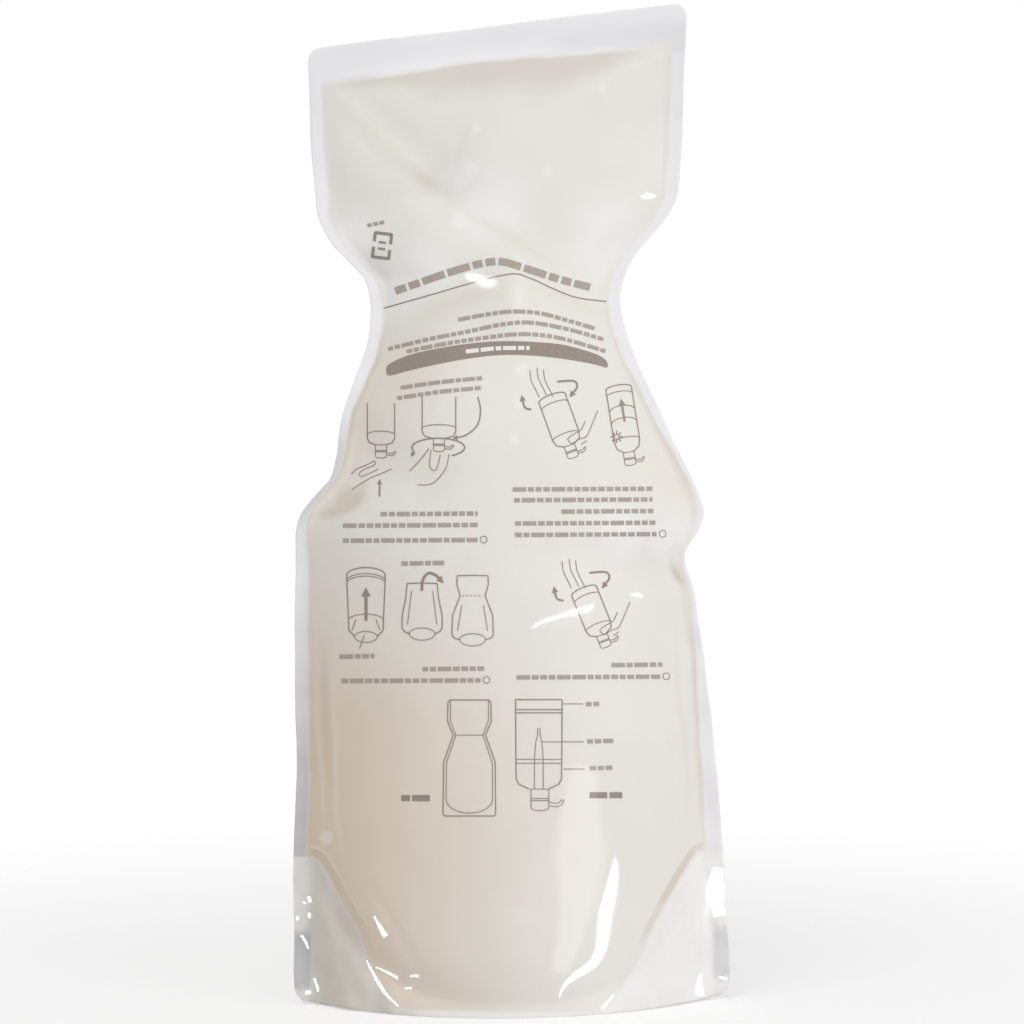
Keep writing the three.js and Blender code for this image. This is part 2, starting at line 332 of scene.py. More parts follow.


# %% Spots and lines in the fill: pale spots, painted light, painted shade and painted highlights
# pale round spots in the fill
PALE_SPOTS = [  # right, up and radius
    (-52.8, 45.7, 2.0), (2.1, 176.3, 1.9), (2.1, 167, 1.7), (0.7, 156.7, 1.6), (-11.9, 232.1, 2.2),
    (-16.1, 227.9, 1.8), (9.1, 231.6, 1.6), (-14.7, 218.2, 2.4), (24.6, 254.9, 1.3), (-10.5, 243.5, 1.3),
]
# painted light: paler spots on the head, the neck and the right shoulder
PAINTED_LIGHT_SPOTS = [
    (-5.7, 223, 11), (-15, 231, 5), (-43, 212, 9), (-32, 199, 12), (-25, 204, 9), (27, 213, 13), (31, 130, 8),
    (44, 130, 8),
]
# painted shade along creases of the front
CREASE_SHADES = [  # route, share and width
    ([(45, 122.5), (46.8, 119), (48.7, 116)], 0.9, 1.4),
    ([(50.3, 113), (51.2, 95), (51.4, 70), (52.2, 46)], 0.7, 1.3),
    ([(45.6, 110), (46.6, 80), (48.8, 50)], 0.35, 1.4),
    ([(-53.2, 100), (-53, 84), (-52.4, 56)], 0.6, 1.6),
    ([(-42.8, 144), (-43.6, 140.5), (-46, 138), (-50.7, 136.4), (-55, 135.5)], 0.9, 1.8),
    ([(-44.5, 143), (-50.5, 139.4)], 0.75, 3.6),
    ([(-18.3, 222.6), (-6.6, 216.8), (3.6, 211.7), (12, 205)], 0.4, 2.0),
    ([(-12.5, 245.3), (-17.6, 229.9)], 0.3, 1.5),
    ([(-30, 233), (-19.8, 226)], 0.6, 3.0),
    ([(-20, 226), (-34, 225), (-46, 223)], 0.2, 2.2),
    ([(37, 184), (43, 166), (49, 146)], 0.6, 2.4),
    ([(0, 202), (-14, 196), (-31, 189)], 0.5, 4.5),
    ([(4, 202), (16, 196), (26, 191)], 0.35, 3.2),
]
# painted highlights along ridges of the film
RIDGE_LIGHTS = [
    ([(-54.7, 96), (-55.3, 74), (-54.2, 61.5), (-53.8, 48)], 0.6, 0.9),
    ([(-49.9, 100), (-50.6, 84), (-50.5, 56), (-49.6, 48), (-47.6, 40)], 0.7, 0.9),
    ([(-50, 255.5), (-36, 243), (-22, 229.5)], 1.0, 3.4),
    ([(1.6, 206), (1.3, 190)], 0.8, 2.2),
    ([(44, 266), (30, 260.5)], 0.6, 1.8),
    ([(53.3, 108), (54.2, 84), (55, 50)], 0.5, 0.9),
]
print(len(PALE_SPOTS), "pale_spots,", len(CREASE_SHADES), "creases,", len(RIDGE_LIGHTS), "ridges")

# %% The edges of the seals and of the weld
SEAL_WIDTH = np.array([  # [height, width of the left seal, width of the right seal] in mm
    (0, 3.9, 4.6), (50, 3.8, 4.7), (64, 3.6, 4.2), (76, 3.6, 3.8), (90, 3.6, 2.9), (101, 3.6, 2.1),
    (114, 3.6, 1.2), (124, 3.6, 0.9), (134, 2.6, 1.9), (142, 2.3, 1.6), (154, 2.3, 2.4), (166, 3.1, 3.3),
    (180, 3.8, 3.8), (285, 3.9, 3.9),
])
TOP_SEAL_SHOWN = np.array([  # [right, width of the top seal] in mm
    (-50, 11.2), (-36, 11.0), (-14, 10), (-6, 10.2), (6, 10.6), (19, 11.8), (45, 11.8),
])
GUSSET_LINE = smooth(*[  # the lower edge of the gusset's weld, as it is seen from the left seal to the right
    (-62, 40.5), (-55.9, 39.7), (-52.5, 35.3), (-49.3, 29.7), (-46.1, 24), (-42.9, 18.4), (-41, 12.4),
    (-38.1, 5.6), (-34.9, 0.8), (-31.7, -1.7), (-10, -2.7), (10, -2.8), (24.4, -2.4), (29.1, 2.2),
    (33.1, 8.4), (36.7, 15.6), (40.4, 23.5), (44, 30.2), (49.4, 39.2), (52.4, 42), (62, 42.2),
])
LEFT_WELD = 0.9  # the weld is wider on the left, so a distance there counts for less

side_width = np.where(across < 0, *[np.interp(z, SEAL_WIDTH[:, 0], SEAL_WIDTH[:, i]) for i in (1, 2)])
top_width = np.interp(seen[:, 0], TOP_SEAL_SHOWN[:, 0], TOP_SEAL_SHOWN[:, 1])
into_fill = np.minimum(from_side - side_width, (from_top - top_width) * 0.5)
into_fill += 0.2 * waves(8, THROUGH, 9, 12.4)
weld_away = np.min([line_distance(seen, a, b)[0] for a, b in zip(GUSSET_LINE, GUSSET_LINE[1:])], axis=0)
above_weld = weld_away * np.sign(seen[:, 1] - np.interp(seen[:, 0], GUSSET_LINE[:, 0], GUSSET_LINE[:, 1]))
above_weld *= np.where(seen[:, 0] < 0, LEFT_WELD, 1)
empty = np.clip(np.maximum(0.5 - into_fill, 0.5 - above_weld), 0, 1)
on_skirt = smoothstep(0.4 - above_weld / 1.2)
stripes = 0.5 + 0.5 * waves(4, THROUGH, 26, 47.2)

# %% The warmer, darker beige: partly the shampoo's own colour, partly painted shade
warm_and_shade_reach = np.interp(z, [20, 45, 80, 109, 138, 159, 188], [83, 92, 88, 70, 62, 42, 55])  # mm from the left
warm_and_shade_most = np.interp(
    z, [20, 50, 80, 109, 125, 138, 159, 176, 188, 200],
    [0.75, 0.75, 0.7, 0.4, 0.26, 0.22, 0.38, 0.42, 0.28, 0],
)
# darker and warmer towards the left edge: partly the shampoo's own colour, partly painted shade away from the
# key
warm_and_shade_left = warm_and_shade_most * np.clip(1 - (x - left) / warm_and_shade_reach, 0, 1) ** 0.9
# the same warmer, darker beige on the right below the shoulder
warm_and_shade_right = smoothstep((x - 30) / 22)
warm_and_shade_right *= np.interp(z, [112, 130, 142, 160, 174, 192], [0, 0.12, 0.28, 0.4, 0.45, 0])

# %% Painted shade: the roll under the top seal, and the inner edges of the side seals
# painted shade in the roll of film under the top seal
roll_shade_share = np.interp(
    seen[:, 0], [-52, -46, -39, -28, -12, 14, 23, 32, 41], [0, 0.4, 0.75, 0.9, 1, 1, 0.9, 0.55, 0],
)
roll_thick = np.interp(seen[:, 0], [-48, -39, -30, -21, -8, 16, 25, 34], [4, 5, 8, 12, 16, 13, 9, 5])  # mm
roll_thick *= 1 + 0.15 * waves(12, 12, 12, 15.8)
roll_start = top_width + 0.3 * waves(9, 9, 9, 63.1)
# painted shade along the inner edge of the side seals, by height
seal_edge_shade_share = np.interp(
    z, [30, 100, 135, 160, 180, 195, 215, 285], [0.3, 0.3, 0.5, 0.9, 0.8, 0.4, 0.25, 0.3],
)

# %% Write the places on the film
shares = {
    "into_fill": np.clip(into_fill, -20, 20),
    "above_weld": np.clip(above_weld, -20, 20),
    "weld": smoothstep((np.abs(across) - 0.42) / 0.3) * smoothstep((into_fill - 0.2) / 1.5)
    * smoothstep((seen[:, 1] - 4) / 28) * (0.75 + 0.35 * waves(9, 9, 9, 91.4)),
    # partly the shampoo's own deeper beige, partly painted shade on the left and low down
    "warm_and_shade": np.maximum(warm_and_shade_left, warm_and_shade_right),
    # painted shade along the inner edge of the seals, less on the right
    "seal_edge_shade": smoothstep(1 - into_fill / 3) * seal_edge_shade_share * np.where(across < 0, 1, 0.5),
    # painted shade under the top seal
    "roll_shade": roll_shade_share * smoothstep((from_top - roll_start) / 0.9) * smoothstep(
        (roll_start + roll_thick - from_top) / roll_thick + 0.15),
    # painted shade in the creases
    "crease_shade": front * sum(fold(seen, route, share, width) for route, share, width in CREASE_SHADES),
    # painted highlights on the ridges
    "ridge_light": front * sum(fold(seen, route, share, width) for route, share, width in RIDGE_LIGHTS),
    # painted light in pale spots
    "painted_light": front * spots(seen, PAINTED_LIGHT_SPOTS, sharp=2),
    "dim": empty * (1 - on_skirt) * (
        smoothstep((-24 - x) / 28) * np.interp(z, [50, 112, 128, 138, 156, 166], [1, 0.05, 0.1, 0.7, 0.6, 0])
        + 0.35 * smoothstep((x - 2) / 16) * smoothstep((from_top - 1) / 7) * smoothstep((16 - from_top) / 3)
    ),
    "shade": on_skirt * smoothstep((-16 - x) / 24) * smoothstep(from_side / 12 + 0.3) * (0.7 + 0.4 * stripes),
    # the clear patches of the corners; the left one is painted darker than the right, as painted shade
    "clear_left": soft_box(seen, (-61.5, 3.5), (-56.8, 19.5), 1.2),
    "clear_right": soft_box(seen, (55.9, 6.4), (62.5, 21.0), 1.2),
    "pale_spot": spots(seen, PALE_SPOTS) * front,
}
for name, values in shares.items():
    write_attribute(film, name, values)
    print(name, "from", round(float(values.min()), 2), "to", round(float(values.max()), 2))


# %% [markdown]
# The film's material: a nylon and polyethylene laminate, drawn and cast smooth, over pearly shampoo.
# What the eye gets is a milky beige with a thin, sharp gloss on top. The seals are two films with
# nothing between them, so they are whiter and cooler. The skirt is frosted by its crumples, and the
# weld of the gusset shows as a beige band between two pale lines. Clear film over a coloured fill could
# be built as it is, but light that goes through two films is slow to trace and hard to steer. So one
# glossy plastic is painted in layers, and an attribute, the height or a noise tells each layer its place.

# %% Material helpers
def rgb(hex_colour):
    """A colour written as sRGB hex, turned to the linear values that Blender mixes."""
    parts = [int(hex_colour[i : i + 2], 16) / 255 for i in (1, 3, 5)]
    return (*[c / 12.92 if c <= 0.04045 else ((c + 0.055) / 1.055) ** 2.4 for c in parts], 1)


def add(tree, kind, links=None, inputs=None, **settings):
    """Adds a node, sets its properties and its sockets' values, and links its sockets."""
    node = tree.nodes.new(kind)
    for name, value in settings.items():
        setattr(node, name, value)
    for name, value in (inputs or {}).items():
        node.inputs[name].default_value = value
    for name, source in (links or {}).items():
        tree.links.new(source, node.inputs[name])
    return node


def new_material(name):
    material = bpy.data.materials.new(name)
    material.use_nodes = True
    material.node_tree.nodes.clear()
    return material, material.node_tree


# %% Layers of the film's colour
MILKY = "#DFDDD7"  # the head, where little shampoo is behind the film
LAYERS = [  # what tells its place, where it starts and where it is full, its colour and its most
    ("height", 0.215, 0.09, "#E2DEDA", 1),
    ("swirl", 0.4, 0.66, "#E9E6E2", 0.3),
    # warmer, darker beige: partly the shampoo's colour, partly painted shade
    ("warm_and_shade", 0, 1, "#D6C0A4", 1),
    # painted light
    ("painted_light", 0, 1, "#F1F0EE", 0.58),
    # painted shade beside the seals
    ("seal_edge_shade", 0, 1, "#C4B9A4", 0.7),
    # painted shade in creases
    ("crease_shade", 0, 1, "#BFAE9B", 0.55),
    # painted highlights on ridges
    ("ridge_light", 0, 1, "#EFEAE2", 0.4),
    # painted shade under the top seal
    ("roll_shade", 0, 1, "#D1CAC4", 1),
    ("into_fill", 0.7, -0.7, "#E7E6E8", 1),
    ("above_weld", 0.4, -0.8, "#E9E8E6", 0.95),
    ("dim", 0, 1, "#C3C1C3", 0.95),
    ("shade", 0, 1, "#C2B6A8", 0.6),
    ("band", 0, 1, "#C3B39E", 0.5),
    ("line_low", 0, 1, "#E9E3DA", 0.4),
    ("line_high", 0, 1, "#E9E3DA", 0.4),
    # the clear corner patches, the left one darker as painted shade
    ("clear_left", 0, 1, "#B4B3B7", 0.8),
    ("clear_right", 0, 1, "#C9C8CC", 0.6),
    ("pale_spot", 0, 1, "#F0EEEA", 0.4),
]
WELD = [  # part, its middle above the weld's lower edge, and the half widths where it is full and gone, mm
    ("band", 1.35, 0.3, 1.9), ("line_low", 0, 0, 0.75), ("line_high", 2.6, 0, 0.7),
]

# %% What tells each layer its place
SWIRL_SCALE = 28  # to a metre, so a swirl of the shampoo is about 36 mm wide

laminate, tree = new_material("nylon_polyethylene_laminate")
place = add(tree, "ShaderNodeTexCoord").outputs["Object"]
known = {name: add(tree, "ShaderNodeAttribute", attribute_name=name).outputs["Fac"] for name in shares}
known["height"] = add(tree, "ShaderNodeSeparateXYZ", {"Vector": place}).outputs["Z"]
swirl = add(
    tree, "ShaderNodeTexNoise", {"Vector": place}, {"Scale": SWIRL_SCALE, "Detail": 3, "Roughness": 0.5},
)
known["swirl"] = swirl.outputs["Fac"]
for part, middle_up, full, gone in WELD:
    offset = add(tree, "ShaderNodeMath", {0: known["above_weld"]}, {1: middle_up}, operation="SUBTRACT")
    apart = add(tree, "ShaderNodeMath", {0: offset.outputs["Value"]}, operation="ABSOLUTE")
    near_it = add(
        tree, "ShaderNodeMapRange", {"Value": apart.outputs["Value"]},
        {"From Min": gone, "From Max": full}, interpolation_type="SMOOTHSTEP",
    )
    shown = add(
        tree, "ShaderNodeMath", {0: near_it.outputs["Result"], 1: known["weld"]}, operation="MULTIPLY",
    )
    known[part] = shown.outputs["Value"]

# %% The film's colour
colour = None
for told_by, start, full, tint, most in LAYERS:
    share = add(
        tree, "ShaderNodeMapRange", {"Value": known[told_by]},
        {"From Min": start, "From Max": full, "To Max": most}, interpolation_type="SMOOTHSTEP",
    )
    links = {"Factor": share.outputs["Result"]}
    if colour:
        links["A"] = colour
    mixed = add(tree, "ShaderNodeMix", links, {"B": rgb(tint)}, data_type="RGBA")
    if not colour:
        mixed.inputs["A"].default_value = rgb(MILKY)
    colour = mixed.outputs["Result"]

# %% The film's surface
GRAIN_SCALE = 160  # to a metre, the slow unevenness of drawn film
GRAIN_RELIEF = 0.06  # mm
WELD_RELIEF = 0.2  # mm, the beads along both edges of the weld
GLOSS = 0.13  # roughness of smooth film
FILM_IOR = 1.5  # polyethylene 1.51, nylon 1.53

grain = add(tree, "ShaderNodeTexNoise", {"Vector": place}, {"Scale": GRAIN_SCALE, "Detail": 2})
relief = add(
    tree, "ShaderNodeMath", {0: grain.outputs["Fac"]}, {1: GRAIN_RELIEF}, operation="MULTIPLY",
)
for bead in ("line_low", "line_high"):
    relief = add(
        tree, "ShaderNodeMath", {0: known[bead], 2: relief.outputs["Value"]}, {1: WELD_RELIEF},
        operation="MULTIPLY_ADD",
    )
bump = add(tree, "ShaderNodeBump", {"Height": relief.outputs["Value"]}, {"Strength": 0.5, "Distance": MM})
shader = add(
    tree, "ShaderNodeBsdfPrincipled", {"Base Color": colour, "Normal": bump.outputs["Normal"]},
    {"Roughness": GLOSS, "IOR": FILM_IOR},
)
add(tree, "ShaderNodeOutputMaterial", {"Surface": shader.outputs["BSDF"]})
film.data.materials.clear()
film.data.materials.append(laminate)

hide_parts("pouch")
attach(film, "root")

# %% [markdown]
# The print. On the real film it is a warm grey ink between the two layers of the laminate, so it
# follows every fold and has the gloss of the film over it. It could be a texture, but that would need a
# picture file, so the marks are geometry: each is drawn flat, in millimetres as the camera sees it, then
# laid on the film along the lines of sight. A pouch stands on its head in its case, so all the drawings
# are upside down. The marks are rows of plain dashes, and plain outlines of a pouch, a case, bottles with
# pumps, and hands.

# %% Helpers for drawing
LINE = 0.32  # mm, a printed line
THIN = 0.24
INK_STEP = 0.8  # mm between the cuts of a mark, so that it can bend with the film
marks = {"grey": [], "pale_grey": [], "white": []}  # each mark is its upper and its lower edge


def spaced(places, spots_along=None):
    """Places along a route at even steps that keep the route's corners, or at given shares of it."""
    p = np.array(places, dtype=float)
    run = np.concatenate([[0], np.cumsum(np.linalg.norm(np.diff(p, axis=0), axis=1))])
    if spots_along is None:
        spots_along = np.union1d(run, np.linspace(0, run[-1], int(run[-1] / INK_STEP) + 2)) / run[-1]
        spots_along = spots_along[np.concatenate([[True], np.diff(spots_along) * run[-1] > 0.02])]
    return np.column_stack([np.interp(spots_along * run[-1], run, p[:, i]) for i in (0, 1)])


def draw(places, width=LINE, ink="grey"):
    """A line of even width."""
    middle_line = spaced(places)
    step = np.gradient(middle_line, axis=0)
    step /= np.maximum(np.linalg.norm(step, axis=1), 1e-9)[:, None]
    side = np.column_stack([-step[:, 1], step[:, 0]]) * width / 2
    marks[ink].append((middle_line + side, middle_line - side))


def fill(upper, lower, ink="grey"):
    """The area between two edges."""
    shares = np.linspace(0, 1, int(np.ptp(np.array(upper)[:, 0]) / INK_STEP) + 3)
    marks[ink].append((spaced(upper, shares), spaced(lower, shares)))


def put(places, centre, degrees=0, size=1.0):
    """Places drawn round 0, 0, scaled and turned, and moved to a centre."""
    c, s = math.cos(math.radians(degrees)), math.sin(math.radians(degrees))
    return np.array(places, dtype=float) @ np.array([[c, s], [-s, c]]) * size + centre


def mirrored(half):
    """A closed outline from its right half, drawn from top to bottom."""
    return [*half, *[(-right_of, up) for right_of, up in reversed(half)], half[0]]


def draw_sides(half, centre, degrees=0, width=LINE):
    """A line on the right of a centre, and its mirror image on the left."""
    for side in (1, -1):
        draw(put([(side * right_of, up) for right_of, up in half], centre, degrees), width)


def arc(centre, wide, high, start, end, count=14):
    """Part of an ellipse, from one angle to another."""
    angles = np.radians(np.linspace(start, end, count))
    return np.column_stack([centre[0] + wide * np.cos(angles), centre[1] + high * np.sin(angles)])


def arrow(route, width=0.8, head=2.4):
    """A thick line that ends in a triangle."""
    draw(route, width)
    tip, before = np.array(route[-1]), np.array(route[-2])
    ahead = (tip - before) / np.linalg.norm(tip - before)
    beside = np.array([-ahead[1], ahead[0]])
    end = tip + ahead * head * 0.85
    shares = np.linspace(0, 0.98, 4)[:, None]
    back = tip - ahead * head * 0.15
    marks["grey"].append((
        back + beside * head / 2 + shares * (end - back - beside * head / 2),
        back - beside * head / 2 + shares * (end - back + beside * head / 2),
    ))


def dash_row(places, size, seed, ink="pale_grey", weight=0.56):
    """Dashes of uneven length along a route. Lengths, gaps and weight are parts of a size in mm."""
    dice = np.random.default_rng(seed)
    route = smooth(*places) if len(places) > 2 else np.array(places, dtype=float)
    length = np.linalg.norm(np.diff(route, axis=0), axis=1).sum()
    at = 0.0
    while at < length - 0.3 * size:
        stop = min(at + size * dice.choice([0.75, 0.85, 1.75]), length)
        draw(spaced(route, np.linspace(at, stop, 4) / length), size * weight, ink)
        at = stop + 0.24 * size


# %% Draw the waist
BAR_TOP = [(-35.1, 176.2), (-34.5, 177.8), (-28.5, 180.5), (-19.9, 182.4), (-11.3, 183.7), (-2.8, 184.3),
           (5.8, 184.1), (14.3, 183.3), (22.9, 180.9), (26.3, 178.9), (26.8, 177.3)]
BAR_LOW = [(-35.1, 176.2), (-34.4, 174.7), (-28.5, 176.2), (-19.9, 178.1), (-11.3, 179.6), (-2.8, 180.5),
           (5.8, 180.3), (14.3, 179.4), (22.9, 177.9), (26.3, 176.9), (26.8, 177.3)]
draw(smooth((-35.9, 193.5), (-22.5, 197.3), (-10.8, 200.7), (-0.1, 203.1), (5.3, 201.8),
            (11.7, 198.9), (18.1, 196.5), (26.4, 195.4)))
fill(smooth(*BAR_TOP), smooth(*BAR_LOW))
dash_row([(-12.9, 181.4), (-4, 182.3), (4.9, 182.4)], 2.1, 5, "white")
dash_row([(-32.6, 198.3), (-15, 204.3), (-4.4, 206.6), (2.6, 205), (13.3, 201.6), (21.8, 199.4)], 3.7, 1)
for seed, route in enumerate([
    [(-15, 190.3), (-8.1, 191.6), (-0.1, 192.6), (7.9, 192.1), (15.9, 190), (24, 187.6)],
    [(-34.6, 182.1), (-24.1, 184.7), (-13.4, 186.8), (-2.8, 189), (5.3, 189.5), (15.9, 187.6), (25.8, 184.7)],
    [(-29.5, 181.4), (-18.8, 183.6), (-8.1, 185.2), (2.6, 186.3), (13.3, 185.2), (26.1, 181.5)],
    [(-31.1, 171.3), (-20, 172.9), (-8.4, 174)],
    [(-32.1, 168.4), (-20, 170.2), (-8.4, 171.3)],
]):
    dash_row(route, 1.95, 10 + seed)

# %% Draw the rows of dashes
DASH_ROWS = [  # from, to, height above the table, ring at the right end
    (0.2, 39.2, 143.1, False), (0.6, 39.2, 140.1, False), (13.8, 39.5, 136.9, False),
    (0.9, 40.2, 133.6, False), (0.9, 40.4, 130.4, True), (-36.7, -9.6, 136.2, False),
    (-47.2, -9.6, 133.0, False), (-47.2, -9.6, 128.8, True), (-30.9, -19.0, 122.4, False),
    (-48.2, -38.5, 96.4, False), (-25, -7, 92.9, False), (-47.6, -8.8, 89.6, True),
    (27.8, 42, 94, False), (1.3, 41.4, 90.6, True), (20.6, 25.4, 83.1, False),
    (21, 28.3, 72.7, False), (21.7, 28.4, 65.2, False),
]
for seed, (start, end, up, ringed) in enumerate(DASH_ROWS):
    dash_row([(start, up - 0.2), (end, up)], 2.15, 20 + seed)
    if ringed:
        draw(arc((end + 1.7, up + 0.1), 0.95, 0.95, 0, 360), THIN)
for seed, (start, end, up) in enumerate([(21.7, 30.8, 57.5), (-30.9, -21.6, 56.7)]):
    dash_row([(start, up), (end, up)], 2.8, 50 + seed, "grey", 0.6)

# %% Draw the pouch and the case
POUCH_HALF = [(0, 16.2), (5.4, 16.2), (6.0, 15.6), (6.1, 10.2), (4.5, 6.4), (7.2, -1.2), (7.35, -15.6),
              (6.9, -16.2), (0, -16.2)]
POUCH_SEAM = [(5.3, 16.2), (5.3, 10.4), (3.8, 6.4), (6.4, -1.4), (6.5, -11.5)]
POUCH_PLACE = (-11.9, 67.9)
draw(put(mirrored(POUCH_HALF), POUCH_PLACE))
draw_sides(POUCH_SEAM, POUCH_PLACE, width=THIN)
draw(put(arc((0, -11.5), 6.5, 3.9, 0, -180), POUCH_PLACE), THIN)
draw(put([(-3.9, 6.4), (3.9, 6.4)], POUCH_PLACE), THIN)


def pump(foot, degrees=0, size=1.0):
    """Collar, head and spout of a pump, pointing down from the foot of a bottle."""
    body = [(0, 0), (2.5, 0), (2.5, -5), (2.2, -5.6), (1.2, -5.9), (0, -6)]
    spout = smooth(
        (2.5, -3.6), (4, -3.9), (5.2, -3.8), (6.2, -3), (6.6, -3.5), (5.6, -4.7), (4, -4.9), (2.5, -4.6),
    )
    draw(put(mirrored(body), foot, degrees, size), THIN)
    draw(put(spout, foot, degrees, size), THIN)
    for up in (-2.6, -3.2):
        draw(put([(-2.5, up), (2.5, up)], foot, degrees, size), THIN)


CASE_MIDDLE = 7.5
for up in (84.2, 81.4, 80.5):
    draw([(CASE_MIDDLE - 6.6, up), (CASE_MIDDLE + 6.4, up)])
CASE_HALF = [(6.5, 84.2), (6.4, 66.5), (6.3, 61.9), (5.5, 60.5), (2.6, 59.2)]
PIPE_HALF = [(1.25, 59.3), (1.2, 68.3), (0.85, 72.3), (0.35, 74.4), (0.3, 76.3)]
draw_sides(CASE_HALF, (CASE_MIDDLE, 0))
draw_sides(PIPE_HALF, (CASE_MIDDLE, 0), width=THIN)
for up in (67.5, 66.4):
    draw([(CASE_MIDDLE - 6.4, up), (CASE_MIDDLE + 6.4, up)], THIN)
pump((CASE_MIDDLE + 0.3, 59.2))
for start, end, up in ((14.2, 19.9, 83.0), (8.5, 20.1, 72.4), (14.4, 20.3, 64.8)):
    draw([(start, up), (end, up)], THIN)


# %% Draw the folding of the pouch
def gusset_eye(centre, wide):
    """The foot of a small pouch: an eye of two arcs."""
    draw(arc(centre, wide, wide * 0.45, 0, 180), THIN)
    draw(arc(centre, wide, wide * 0.5, 0, -180), THIN)


def bulge_lines(middle_x, top_up, low_up, wide):
    """Two curved lines that show that a pouch is full."""
    line = smooth((wide * 0.72, top_up), (wide * 0.86, (top_up + low_up) / 2), (wide, low_up))
    draw_sides(line, (middle_x, 0), width=THIN)


SMALL_POUCH = [(0, 118.9), (4.3, 118.8), (4.4, 116.4), (3.5, 113.2), (5.6, 107.7), (5.8, 102.4), (5.2, 101.4),
               (3.6, 101)]
FOLDED = [(0, 116.8), (4.2, 116.6), (4.6, 112.4), (5.6, 107.6), (5.6, 104.2), (5, 103.3), (3.7, 102.6)]
for middle_x, half, foot in ((-11, SMALL_POUCH, 101), (-25.1, FOLDED, 102.6)):
    draw_sides(half, (middle_x, 0))
    gusset_eye((middle_x, foot), 3.6)
for start in np.arange(-14, -8.4, 1.15):
    draw([(start, 113.2), (start + 0.6, 113.2)], THIN)
bulge_lines(-11, 110.6, 103.4, 4.2)
bulge_lines(-25.1, 114.6, 105.2, 4.1)
arrow(smooth((-25.2, 114.6), (-24.9, 117.6), (-23.4, 119.5), (-21.4, 119), (-20.2, 117.9)), 0.75, 2.0)

CAN_MIDDLE = -40.8
draw(arc((CAN_MIDDLE, 118.9), 5.4, 2.2, 180, 0))
for up in (117.4, 116.7):
    draw(arc((CAN_MIDDLE, up), 5.4, 2.0, 175, 5), THIN)
draw_sides([(5.4, 118.9), (5.3, 116), (4.9, 107), (4.8, 103.6), (3.2, 101.8)], (CAN_MIDDLE, 0))
draw(arc((CAN_MIDDLE, 106.3), 4.9, 1.8, 180, 0), THIN)
bulge_lines(CAN_MIDDLE, 106.6, 103.6, 3.9)
gusset_eye((CAN_MIDDLE, 101.8), 3.2)
arrow([(CAN_MIDDLE, 106.2), (CAN_MIDDLE, 113.4)], 0.85, 2.6)
draw([(-41.2, 102.3), (-42.6, 98.4)], THIN)


# %% Draw the bottles
def bottle(centre, degrees, wide, high, cover=0.16):
    """A pump bottle on its head: a round base with a cover, sides, shoulders and a pump."""
    w, h = wide / 2, high / 2
    draw(put(arc((0, h), w, w * 0.28, 180, 0), centre, degrees))
    draw(put(arc((0, h * (1 - 2 * cover)), w, w * 0.28, 180, 0), centre, degrees), THIN)
    draw_sides([(w, h), (w, -h * 0.62), (w * 0.86, -h * 0.86), (w * 0.36, -h)], centre, degrees)
    draw(put(arc((0, -h * 0.62), w, w * 0.26, 160, 20), centre, degrees), THIN)
    pump(put([(0, -h)], centre, degrees)[0], degrees, 0.62)


def holding_hand(centre, degrees=0, size=1.0):
    """A hand from the side: thumb, wrist and one finger."""
    for route in (
        [(-1.2, -3.4), (-2.2, -2.2), (-0.6, -0.9), (1.2, 0.2), (2.2, 2.4)],
        [(-1.2, -3.4), (0.8, -2.2), (2.6, -1.4), (4.0, 1.6), (5.4, 5.0)],
        [(1.2, -3.6), (2.6, -2.6)],
    ):
        draw(put(smooth(*route), centre, degrees, size), THIN)


def turning_fingers(centre):
    """Three fingers that reach down to the top of a bottle."""
    for right_of, up in ((-6.4, 0), (-4.4, 0.6), (-2.6, 0.2)):
        finger = smooth((-2.2, 14.5), (-1.8, 11.5), (-0.2, 8.2), (0.4, 6.8))
        draw(put(finger, (centre[0] + right_of, centre[1] + up)), THIN)


for centre, degrees, wide, high in (((22.6, 108.4), 22, 7.4, 13.2), ((13.6, 161.8), 20, 7.8, 14.0)):
    bottle(centre, degrees, wide, high)
    holding_hand((centre[0] + 4.4, centre[1] - 2.4), size=1.1)
    turning_fingers(centre)
    arrow(put(smooth((-8.2, 3.4), (-10, 4.0), (-10.6, 6.0)), centre), 0.55, 1.8)
    arrow(put(smooth((-1.0, 11.2), (3.6, 11.4), (4.6, 9.8), (3.4, 8.0)), centre), 0.55, 1.8)

SLIM = (31.2, 162.2)
SLIM_TILT = 9
bottle(SLIM, SLIM_TILT, 7.2, 18.0, cover=0.1)
for up in (3.0, -0.4):
    draw(put(arc((0, up), 3.3, 1.2, 180, 0), SLIM, SLIM_TILT), THIN)
arrow(put([(0.2, -0.4), (0.2, 4.4)], SLIM, SLIM_TILT), 0.6, 2.0)
for degrees in range(0, 360, 45):
    draw(put([(0.5, 0), (1.7, 0)], (29.2, 157.6), degrees), 0.36)

# %% Draw the two pumps
for (middle_x, up), wide in (((-36.6, 161.6), 7.6), ((-20.4, 163.4), 9.4)):
    w = wide / 2
    draw_sides([(w, 5.4), (w, -4.4), (w * 0.85, -5.6), (w * 0.4, -6.2)], (middle_x, up))
    draw(arc((middle_x, up - 3.4), w, 1.0, 170, 10), THIN)
    pump((middle_x, up - 6.2), size=0.62)
draw(smooth((-44.9, 147.2), (-43.2, 148.7), (-40.7, 149.7), (-38.4, 150.8), (-38.6, 149.6), (-41.2, 148.6),
            (-42.6, 147.4), (-42.2, 146.5), (-40.4, 147.1), (-37.4, 148.6)), THIN)
draw(smooth((-44.7, 142.9), (-42.2, 144.5), (-39.7, 146), (-36.4, 147.4), (-33.6, 148.6)), THIN)
arrow([(-37.0, 140.9), (-37.0, 144.6)], 0.5, 1.5)
draw(arc((-20.6, 154.6), 7.4, 2.6, 200, -60, 22), 0.4)
